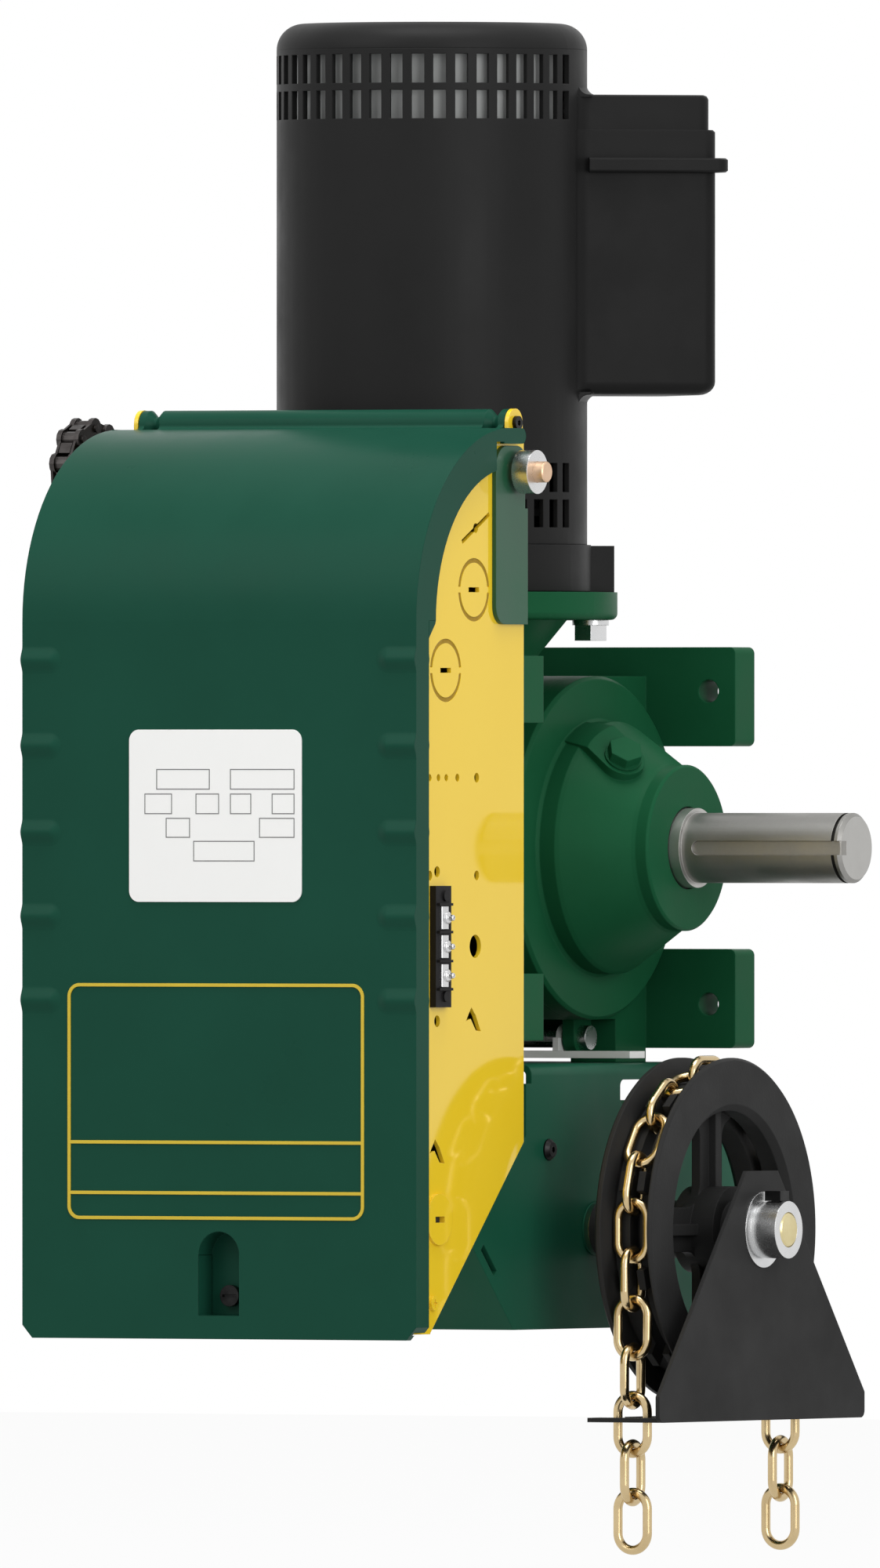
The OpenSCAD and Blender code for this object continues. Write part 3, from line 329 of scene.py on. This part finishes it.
# The case's floor is rounded 6 mm. The lid has a rolled band round its rim and a step below its top.
rounding = [(6 * (1 - math.sin(a)), 6 * (1 - math.cos(a))) for a in (k * math.pi / 12 for k in range(7))]
drawn_case("capacitor_case",
           [(204.8 + up, 123.5 - inward, 40 - inward, 6.5) for up, inward in reversed(rounding)]
           + [(305.5, 123.5, 40.0, 6.5)], "below", "capacitor_box")
drawn_case("capacitor_case_lid",
           [(305.5, 127.3, 43.8, 6.0), (306.3, 128.1, 44.6, 6.0), (311.1, 128.1, 44.6, 6.0),
            (311.9, 127.3, 43.8, 6.0), (311.9, 123.5, 40.0, 6.5), (323.7, 123.5, 40.0, 6.5),
            (324.7, 122.5, 39.4, 6.0), (324.7, 120.5, 39.0, 6.0), (338.5, 120.5, 39.0, 6.0),
            (339.9, 119.9, 38.4, 6.0), (340.5, 118.5, 37.0, 5.0)], "above", "capacitor_lid")

# ---- Motor insides: laminated stator and rotor, air baffle and fan.
# Cores are stacks of varnished electrical steel sheets, the baffle is primed sheet steel that shows grey
# through the upper vents, and the fan is moulded nylon pressed on the shaft.
core, shader, place = new_finish("varnished_lamination_stack", Metallic=0.8)
# Real sheets are 0.5 mm thick: they are drawn as layers of 1 mm, level all round.
layers = add(core, "Mapping", {"Scale": (0.02, 0.02, 1.0)}, {"Vector": place})
sheets = add(core, "TexNoise", {"Scale": 1000 / 1.0, "Detail": 1.0}, {"Vector": layers.outputs["Vector"]})
tone = add(core, "MixRGB", {"Color1": linear("#5C5A58"), "Color2": linear("#7A7774")},
           {"Fac": sheets.outputs["Fac"]})
relief = add(core, "Bump", {"Strength": 0.7, "Distance": 0.0001}, {"Height": sheets.outputs["Fac"]})
matt = add(core, "MapRange", {"To Min": 0.35, "To Max": 0.6}, {"Value": sheets.outputs["Fac"]})
feed(core, shader, {"Base Color": tone.outputs["Color"], "Roughness": matt.outputs["Result"],
                    "Normal": relief.outputs["Normal"]})
dress(core, "motor_stator", "motor_rotor")
# Primer dries chalky and flat, without the shine of the enamel.
baffle_primer = enamel("grey_primer_on_sheet", "#A9ABAA", "#B2B4B3", rough=0.5, shine=0.3, skin_mm=1.2,
                       depth_mm=0.03, cloud_mm=30, round_mm=0.5)
dress(baffle_primer, "air_baffle")


def moulded(name, colour, lift, rough, grain_mm, ior=1.5, shine=0.5):
    """Moulded plastic or print: an even colour, 25 mm flow clouds and the fine grain of the mould.
    The real grain is several times finer than grain_mm, which is as coarse as it needs to be to show."""
    finish, shader, place = new_finish(name, IOR=ior, Specular_IOR_Level=shine)
    grain = add(finish, "TexNoise", {"Scale": 1000 / grain_mm, "Detail": 3.0}, {"Vector": place})
    flow = add(finish, "TexNoise", {"Scale": 1000 / 25, "Detail": 3.0}, {"Vector": place})
    tone = add(finish, "MixRGB", {"Color1": linear(colour), "Color2": linear(lift)},
               {"Fac": flow.outputs["Fac"]})
    softened = add(finish, "Bevel", {"Radius": 0.0003}, samples=4)
    relief = add(finish, "Bump", {"Strength": 0.4, "Distance": 0.00003},
                 {"Height": grain.outputs["Fac"], "Normal": softened.outputs["Normal"]})
    gloss = add(finish, "MapRange", {"To Min": rough * 0.8, "To Max": rough * 1.2},
                {"Value": grain.outputs["Fac"]})
    feed(finish, shader, {"Base Color": tone.outputs["Color"], "Roughness": gloss.outputs["Result"],
                          "Normal": relief.outputs["Normal"]})
    return finish


# Glass-filled nylon, moulded black: it keeps the mould's dull grain.
fan_nylon = moulded("moulded_black_nylon", "#191919", "#242424", rough=0.45, grain_mm=0.6, ior=1.53)
dress(fan_nylon, "motor_fan")

# ---- Bolts, screws and small plated hardware.
# Cold-headed steel, zinc plated bright. The plate is a few microns thick and shows soft grey spangle.
# The disconnect lever is cut from strip, dipped in zinc flake and baked.
zinc_plate = bare_metal("bright_zinc_plate", "#D6D6D6", "#CDCECF", rough=0.26, grain_mm=0.6,
                        stretch=(1, 1, 1), depth_mm=0.0004, round_mm=0.35, cloud_mm=12)
dress(zinc_plate, "flange_bolts", "box_screws", "limit_collar", "guide_bush", "hoist_collar",
      "lever_bolt")
# Zinc flake is an even matt coat, more like paint than metal. Here it is painted near white, paler than
# its own silver grey: painted light on the lever, which sits in shade under the gearbox.
lightened_zinc_flake = bare_metal("baked_zinc_flake_coat_painted_light", "#F8F8F6", "#F0F0EE", rough=0.5, grain_mm=0.5,
                        stretch=(1, 1, 1), depth_mm=0.01, round_mm=0.4, cloud_mm=20)
lightened_zinc_flake.node_tree.nodes["Principled BSDF"].inputs["Metallic"].default_value = 0.1
dress(lightened_zinc_flake, "disconnect_lever")

# ---- Control box chassis: back plate, side panels and the panel fittings on it.
# Folded from sheet steel and sprayed a warm yellow gloss before the parts go on; it screws to the gearbox
# arms. The paint is so smooth that it mirrors what stands close to it.
# Its yellow is deep and even, with hardly any ripple.
box_yellow = enamel("warm_yellow_gloss_enamel", "#F5CE24", "#F7D334", rough=0.055, shine=0.5,
                    skin_mm=2.0, depth_mm=0.002, cloud_mm=70, round_mm=0.2)
dress(box_yellow, "chassis", "panel_fittings")
# The knock-outs on the right panel are sheared nearly through. A thin ring of darker yellow in each groove
# is painted shade in the cut.
knockout_groove_shade = enamel("painted_shade_in_knockout_cut", "#B8942A", "#93772B", rough=0.5, shine=0.15,
                   skin_mm=0.8, depth_mm=0.02, cloud_mm=5, round_mm=0.1)
cut_section = [(96.15, 12.25), (96.75, 12.25), (96.55, 12.8), (96.55, 13.6), (96.75, 14.15),
               (96.15, 14.15)]   # X, and radius round the knock-out
bridge = 0.13   # half the angle of the two bridges that hold each disc
cuts = bmesh.new()
for knock_y, knock_z in ((-263.7, 116.0), (-289.5, 79.8)):
    for start in (0.0, math.pi):
        rows = []
        for k in range(25):
            a = start + bridge + (math.pi - 2 * bridge) * k / 24
            rows.append([cuts.verts.new((x / 1000, (knock_y + radius * math.cos(a)) / 1000,
                                         (knock_z + radius * math.sin(a)) / 1000))
                         for x, radius in cut_section])
        skin(cuts, rows)
knockout_cuts = make_piece(cuts, "knockout_cuts", knockout_groove_shade)
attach(knockout_cuts, "frame_body")
# A black patch in the seal rubber finish sits down in the blanking plug's driver slot: painted shade in
# the slot.
slot_y, slot_z, slot_long, slot_high = -297.0, -166.15, 4.05, 1.2   # its middle and half sizes
slot_shade_shape = bmesh.new()
skin(slot_shade_shape, [[slot_shade_shape.verts.new((x / 1000, (slot_y + way_y * (slot_long + grow)) / 1000,
                                 (slot_z + way_z * (slot_high + grow)) / 1000))
               for way_y, way_z in ((-1, -1), (1, -1), (1, 1), (-1, 1))]
              for x, grow in ((95.0, 0.0), (95.75, 0.0), (95.9, -0.25))])
plug_slot_shade = make_piece(slot_shade_shape, "plug_slot_shade", seal_rubber)
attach(plug_slot_shade, "frame_body")

# ---- Control parts inside the box: terminal strip, contactors, switches, board and transformer.
# Moulded thermoset bodies, a glass-epoxy board with green resist, and a varnished core and winding.
# Each terminal is a plated saddle on the block, with a washer head and a slotted stud through it.
# Thermoset is a dead, slightly dusty black.
thermoset = moulded("moulded_black_thermoset", "#151415", "#1D1C1D", rough=0.55, grain_mm=0.9,
                    shine=0.15)
dress(thermoset, "terminal_block", "contactors", "limit_switches")
recess_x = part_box("terminal_block")[0].x * 1000 + 3.2   # the floor of the block's recess
screw_y = -295.7
saddle = [(-3.1, 0.0), (-3.1, 1.3), (-2.7, 1.6), (2.7, 1.6), (3.1, 1.3), (3.1, 0.0)]   # bent strip
saddle_half = 5.1
stud = [(1.1, 2.7), (1.9, 2.7), (2.3, 2.3), (2.5, 1.6), (2.5, 1.35), (4.3, 1.35), (4.7, 1.0),
        (4.7, 0.55), (4.0, 0.5)]   # turned: its height off the recess, and its radius
sides = 24
terminals = bmesh.new()
for screw_z in (-31.0, -43.9, -56.9):
    skin(terminals, [[terminals.verts.new(((recess_x - 0.3 + up) / 1000,
                                           (screw_y - 1.8 + along) / 1000, (screw_z + half) / 1000))
                      for along, up in saddle] for half in (-saddle_half, saddle_half)])
    skin(terminals, [[terminals.verts.new(((recess_x + up) / 1000,
                                           (screw_y + radius * math.cos(a)) / 1000,
                                           (screw_z + radius * math.sin(a)) / 1000))
                      for a in (2 * math.pi * k / sides for k in range(sides))]
                     for up, radius in stud])
terminal_clamps = make_piece(terminals, "terminal_clamps", zinc_plate, crease=35)
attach(terminal_clamps, "frame_body")
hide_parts("terminal_screws")
# Bands of 3 mm stand for the copper runs under the board's resist.
board_resist, shader, place = new_finish("green_resist_on_glass_epoxy", IOR=1.55)
runs = add(board_resist, "TexWave", {"Scale": 1000 / 3, "Distortion": 0.6, "Detail": 2.0},
           {"Vector": place}, bands_direction="X")
tone = add(board_resist, "MixRGB", {"Color1": linear("#145C33"), "Color2": linear("#1F7A45")},
           {"Fac": runs.outputs["Fac"]})
relief = add(board_resist, "Bump", {"Strength": 0.3, "Distance": 0.00004},
             {"Height": runs.outputs["Fac"]})
gloss = add(board_resist, "MapRange", {"To Min": 0.25, "To Max": 0.4}, {"Value": runs.outputs["Fac"]})
feed(board_resist, shader, {"Base Color": tone.outputs["Color"],
                            "Roughness": gloss.outputs["Result"], "Normal": relief.outputs["Normal"]})
dress(board_resist, "circuit_board")
# The turns of varnished wire run up the sides of the core, so their lines are drawn out along Z.
winding = bare_metal("varnished_copper_winding", "#8F5B36", "#6E4529", rough=0.35, grain_mm=0.9,
                     stretch=(1, 1, 0.2), depth_mm=0.05, round_mm=0.3, cloud_mm=10)
dress(winding, "transformer")

# ---- Limit drive: brackets, threaded shaft and nuts.
# Brackets are pressed sheet in the gearbox green; the shaft is copper coloured plate over steel, turned
# by the chain; the nuts are moulded white nylon and ride against the guide.
# Over smooth pressed sheet the green shines more than on the castings.
bracket_green = enamel("green_gloss_enamel_on_sheet", "#194B33", "#22583D", rough=0.35, shine=0.36,
                       skin_mm=1.8, depth_mm=0.02, cloud_mm=55, round_mm=0.6)
dress(bracket_green, "limit_brackets")
# The thin plate is pale and pinkish, with the turning marks of the steel under it.
copper_plate = bare_metal("copper_plated_shaft", "#DDBDA0", "#CFAC8B", rough=0.42, grain_mm=0.8,
                          stretch=(4, 0.3, 0.3), depth_mm=0.002)
dress(copper_plate, "limit_shaft")
# Unfilled nylon is a milky, slightly warm white.
nut_nylon = moulded("moulded_white_nylon", "#DAD9D2", "#CFCDC4", rough=0.42, grain_mm=0.8, ior=1.53)
dress(nut_nylon, "limit_nuts")

# ---- Box cover with its blank plate, ruled frame and screws.
# Deep-drawn sheet steel with pressed ribs, sprayed a darker blue green gloss. The plate is printed
# aluminium, white enamelled and stuck on, and its yellow frame is screen printed. Black screws hinge it.
# On drawn sheet the enamel is smooth and dark, with broad soft reflections over the curve.
cover_green = enamel("dark_green_gloss_enamel_on_sheet", "#154334", "#1A4C3C", rough=0.33, shine=0.065,
                     skin_mm=2.4, depth_mm=0.02, cloud_mm=80, round_mm=0.7)
dress(cover_green, "cover")
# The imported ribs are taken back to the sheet, and its ten ribs are drawn again as the press leaves them:
# soft ridges 12.6 mm high and 1.8 mm proud that run out over the corners.
face_x, front_y = 101.7, -324.7
rib_start, rib_half, rib_rise = 87.4, 6.3, 1.77
crest, sunk = 0.05, 0.02   # half the crest's width, and how far the foot sits in the sheet
pressed = bmesh.new()
pressed.from_mesh(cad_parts["cover"].data)
for vert in pressed.verts:
    vert.co.x = max(-face_x / 1000, min(face_x / 1000, vert.co.x))
    vert.co.y = max(front_y / 1000, vert.co.y)
for side in (-1, 1):
    for rib_z in (84.7, 46.2, 7.3, -30.5, -68.0):
        rings = []
        for step in range(15):
            across = crest + (rib_half - crest) * step / 14
            part = across / rib_half
            y = front_y + sunk - (rib_rise + sunk) * (1 - part * part * (3 - 2 * part))
            outline = [(face_x, across), (rib_start, across)]
            outline += [(rib_start - across * math.sin(a), across * math.cos(a))
                        for a in (k * math.pi / 16 for k in range(1, 16))]
            outline += [(rib_start, -across), (face_x, -across)]
            rings.append([pressed.verts.new((side * x / 1000, y / 1000, (rib_z + z) / 1000))
                          for x, z in outline])
        for inner, outer in zip(rings, rings[1:]):
            for k in range(len(inner) - 1):
                pressed.faces.new((inner[k], inner[k + 1], outer[k + 1], outer[k]))
        pressed.faces.new(rings[0])
        pressed.faces.new([ring[0] for ring in reversed(rings)] + [ring[-1] for ring in rings])
        pressed.faces.new(list(reversed(rings[-1])))
    # The side flange widens to its curved top on a short slope.
    skin(pressed, [[pressed.verts.new((side * x / 1000, y / 1000, z / 1000))
                    for y, z in ((-313.1, 102.1), (-306.7, 102.1), (-307.2, 100.6), (-313.1, 94.0))]
                   for x in (99.5, face_x)])
# A soft fillet runs along the foot of the hinge roll, broken at the roll's two notches.
foot_y, foot_z, foot_fillet = -234.6, 188.72, 3.1
section = [(-230.4, 188.4), (foot_y, foot_z)]
section += [(foot_y + foot_fillet * math.sin(a), foot_z + foot_fillet - foot_fillet * math.cos(a))
            for a in (k * math.pi / 16 for k in range(1, 9))]
for left, right in ((-94.4, -91.6), (-83.8, 83.8), (91.6, 94.4)):
    skin(pressed, [[pressed.verts.new((x / 1000, y / 1000, z / 1000)) for y, z in section]
                   for x in (left, right)])
pressed_cover = make_piece(pressed, "pressed_cover", cover_green, crease=30)
if "custom_normal" in pressed_cover.data.attributes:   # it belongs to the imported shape
    pressed_cover.data.attributes.remove(pressed_cover.data.attributes["custom_normal"])
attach(pressed_cover, "cover_body")
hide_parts("cover")
# Baked white enamel is flat and bright, and screen ink lies on the paint a little duller than the box.
plate_white = moulded("white_enamelled_aluminium", "#FBFBF9", "#F8F8F6", rough=0.4, grain_mm=0.7)
dress(plate_white, "nameplate")
frame_print = moulded("yellow_screen_print", "#DCBF30", "#CBAF28", rough=0.4, grain_mm=0.5)
dress(frame_print, "label_frame")
# The plate's blank fields are ruled in thin grey ink, with no words in or beside them.
grey_ink = moulded("grey_printing_ink", "#6E6E6E", "#7C7C7C", rough=0.55, grain_mm=0.4)
fields = [(-31.9, 26.4, -4.3, 35.6), (6.2, 26.4, 39.4, 35.6), (-38.0, 15.4, -23.8, 24.6),
          (-11.6, 15.4, 0.5, 24.6), (6.2, 15.4, 17.1, 24.6), (27.7, 15.4, 39.4, 24.6),
          (-27.0, 4.8, -14.5, 13.7), (21.2, 4.8, 39.4, 13.7), (-12.8, -5.8, 18.8, 3.4)]
line = 0.4
plate_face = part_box("nameplate")[0].y
ink = bmesh.new()
for left, low, right, high in fields:
    for x0, z0, x1, z1 in ((left, low, right, low + line), (left, high - line, right, high),
                           (left, low + line, left + line, high - line),
                           (right - line, low + line, right, high - line)):
        skin(ink, [[ink.verts.new((x / 1000, plate_face - proud, z / 1000))
                    for x, z in ((x0, z0), (x1, z0), (x1, z1), (x0, z1))]
                   for proud in (-0.00002, 0.00006)])
ruled_fields = make_piece(ink, "ruled_fields", grey_ink)
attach(ruled_fields, "cover_body")
# Black oxide on socket and hex screws: near black, with a soft oiled shine.
black_oxide = bare_metal("black_oxide_steel", "#2B2B2B", "#1E1E1E", rough=0.36, grain_mm=0.6,
                         stretch=(1, 1, 1), depth_mm=0.012, round_mm=0.3, cloud_mm=4)
dress(black_oxide, "cover_screw", "hinge_screws", "frame_screws", "collar_screw")

# ---- Hand chain hoist: frame, shaft, pocketed wheel, guide bracket and chain.
# The frame and the guide are folded plate, sprayed or powder coated, and the shaft is steel with yellow
# chromate over zinc. The wheel is cast iron, painted black. The chain is welded wire, plated pale gold.
# On folded plate the green dries flatter and bluer than on the castings.
frame_green = enamel("green_enamel_on_folded_plate", "#14503B", "#1A5842", rough=0.42, shine=0.1,
                     skin_mm=1.8, depth_mm=0.02, cloud_mm=55, round_mm=0.8)
dress(frame_green, "hoist_frame", "hoist_bushes")   # the bushes go in before the frame is sprayed
# Chromate turns the zinc a pale straw yellow.
chromate = bare_metal("yellow_chromate_steel", "#DDD0A2", "#CDBE8C", rough=0.3, grain_mm=0.8,
                      stretch=(4, 0.3, 0.3), depth_mm=0.003)
dress(chromate, "hoist_shaft")
# Black paint over a rough casting: dull, with an uneven skin.
wheel_paint = enamel("black_paint_on_cast_iron", "#282828", "#313131", rough=0.5, shine=0.08,
                     skin_mm=1.6, depth_mm=0.08, cloud_mm=30, round_mm=0.8)
dress(wheel_paint, "chain_wheel")
# Powder coat bakes to a fine, nearly matt orange peel.
powder = enamel("black_powder_coat", "#292929", "#2F2F2F", rough=0.5, shine=0.08, skin_mm=0.9,
                depth_mm=0.03, cloud_mm=40, round_mm=0.6)
dress(powder, "guide_bracket")
# Plated wire stays bright: a pale gold that mirrors the room.
chain_plate = bare_metal("pale_gold_plated_chain", "#CFB98F", "#C3AC82", rough=0.2, grain_mm=0.9,
                         stretch=(1, 1, 1), depth_mm=0.0004, round_mm=0.3, cloud_mm=14)
dress(chain_plate, "hand_chain")

# ---- Floor and backdrop: a plain pale sweep under the operator, in a white room.
# Both are white to the camera and to reflections, and light the operator less than they show. They are no
# part of the operator.
reach, floor_z = 4, cad_box[0][2] - 0.012
sweep = bpy.data.meshes.new("pale_floor")
sweep.from_pydata([(-reach, -reach, floor_z), (reach, -reach, floor_z), (reach, reach, floor_z),
                   (-reach, reach, floor_z)], [], [(0, 1, 2, 3)])
floor = bpy.data.objects.new("pale_floor", sweep)
bpy.context.scene.collection.objects.link(floor)
pale, shader, place = new_finish("pale_matt_floor", Roughness=0.9, Specular_IOR_Level=0.1)
mottle = add(pale, "TexNoise", {"Scale": 3.0, "Detail": 2.0}, {"Vector": place})
tone = add(pale, "MixRGB", {"Color1": linear("#B0B0B0"), "Color2": linear("#B4B4B4")},
           {"Fac": mottle.outputs["Fac"]})
feed(pale, shader, {"Base Color": tone.outputs["Color"]})
glow = add(pale, "Emission", {"Color": (1, 1, 1, 1), "Strength": 1.0})
ray = add(pale, "LightPath")
mirrored = add(pale, "Math", None, {0: ray.outputs["Is Camera Ray"], 1: ray.outputs["Is Glossy Ray"]},
               operation="MAXIMUM")
seen = add(pale, "Math", {1: 0.95}, {0: mirrored.outputs["Value"]}, operation="MULTIPLY")
blend = add(pale, "MixShader", None,
            {0: seen.outputs["Value"], 1: shader.outputs["BSDF"], 2: glow.outputs["Emission"]})
feed(pale, pale.node_tree.nodes["Material Output"], {"Surface": blend.outputs["Shader"]})
floor.data.materials.append(pale)

world = bpy.data.worlds.new("soft_white_room")
bpy.context.scene.world = world
world.use_nodes = True
room = world.node_tree.nodes["Background"]
room.inputs["Color"].default_value = (1, 1, 1, 1)
room.inputs["Strength"].default_value = 0.58
white = add(world, "Background", {"Color": (1, 1, 1, 1)})
ray = add(world, "LightPath")
mirrored = add(world, "Math", None, {0: ray.outputs["Is Camera Ray"], 1: ray.outputs["Is Glossy Ray"]},
               operation="MAXIMUM")
blend = add(world, "MixShader", None, {0: mirrored.outputs["Value"], 1: room.outputs["Background"],
                                       2: white.outputs["Background"]})
feed(world, world.node_tree.nodes["World Output"], {"Surface": blend.outputs["Shader"]})

# ---- Studio lamps and the camera.
# Three large soft boxes: a key from the upper left front, a fill from the right, and a top light. The
# photograph is all but parallel, so the camera stands far off with a very long lens, turned 29.4 degrees.
target = Vector((0.0032, -0.1282, 0.0289))


def lamp(name, stand, size, power):
    """A soft box that faces the middle of the operator."""
    data = bpy.data.lights.new(name, "AREA")
    data.shape = "RECTANGLE"
    data.size, data.size_y, data.energy = size[0], size[1], power
    box = bpy.data.objects.new(name, data)
    box.location = stand
    box.rotation_euler = (target - Vector(stand)).to_track_quat("-Z", "Y").to_euler()
    bpy.context.scene.collection.objects.link(box)


lamp("key_softbox", (-0.7, -1.9, 1.2), (1.2, 1.2), 8.2)
lamp("fill_softbox", (2.0, -1.3, 0.5), (1.0, 1.6), 18)
lamp("top_softbox", (0.2, -0.5, 1.9), (1.4, 1.0), 25)

camera_turn = math.radians(29.4)
away, nearer = 18.6, 0.07   # true to scale 70 mm in front of the middle, half way through the operator
view_height, sensor_mm = 0.7067, 36.0
eye = bpy.data.cameras.new("product_camera")
eye.sensor_fit = "VERTICAL"
eye.sensor_width = eye.sensor_height = sensor_mm
eye.lens = away * sensor_mm / view_height
camera = bpy.data.objects.new("product_camera", eye)
camera.location = target + Vector((math.sin(camera_turn), -math.cos(camera_turn), 0)) * (away + nearer)
camera.rotation_euler = (math.radians(90), 0, camera_turn)
bpy.context.scene.collection.objects.link(camera)
bpy.context.scene.camera = camera
bpy.context.scene.view_settings.view_transform = "Standard"
